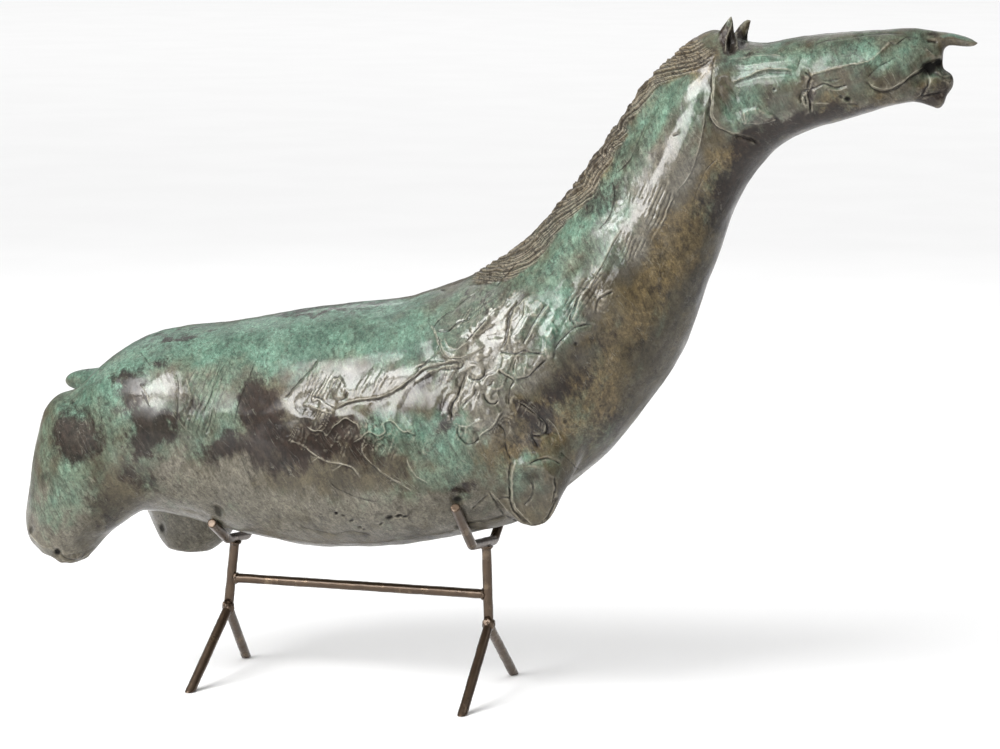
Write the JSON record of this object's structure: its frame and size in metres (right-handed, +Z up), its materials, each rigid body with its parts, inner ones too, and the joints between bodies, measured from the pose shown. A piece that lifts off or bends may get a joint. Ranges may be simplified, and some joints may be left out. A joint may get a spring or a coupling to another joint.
{
  "type": "bronze horse sculpture",
  "caption": "Bronze horse with cut-off legs, a long neck and a raised head, resting in two cradles of a welded bar stand with splayed feet.",
  "frame": {"origin": "on the floor, under the middle of the whole work's box", "axes": "+X towards the horse's head, +Y to the horse's left, +Z up"},
  "size_m": [0.9546, 0.2314, 0.6822],
  "materials": {
    "patinated_bronze": "waxed green and brown patina",
    "brown_bar": "dark brown patina, satin"
  },
  "bodies": {
    "root": {"horse": "patinated_bronze", "front_cradle": "brown_bar", "front_post": "brown_bar", "front_near_leg": "brown_bar", "front_far_leg": "brown_bar", "crossbar": "brown_bar", "rear_cradle": "brown_bar", "rear_post": "brown_bar", "rear_near_leg": "brown_bar", "rear_far_leg": "brown_bar"}
  },
  "joints": []
}
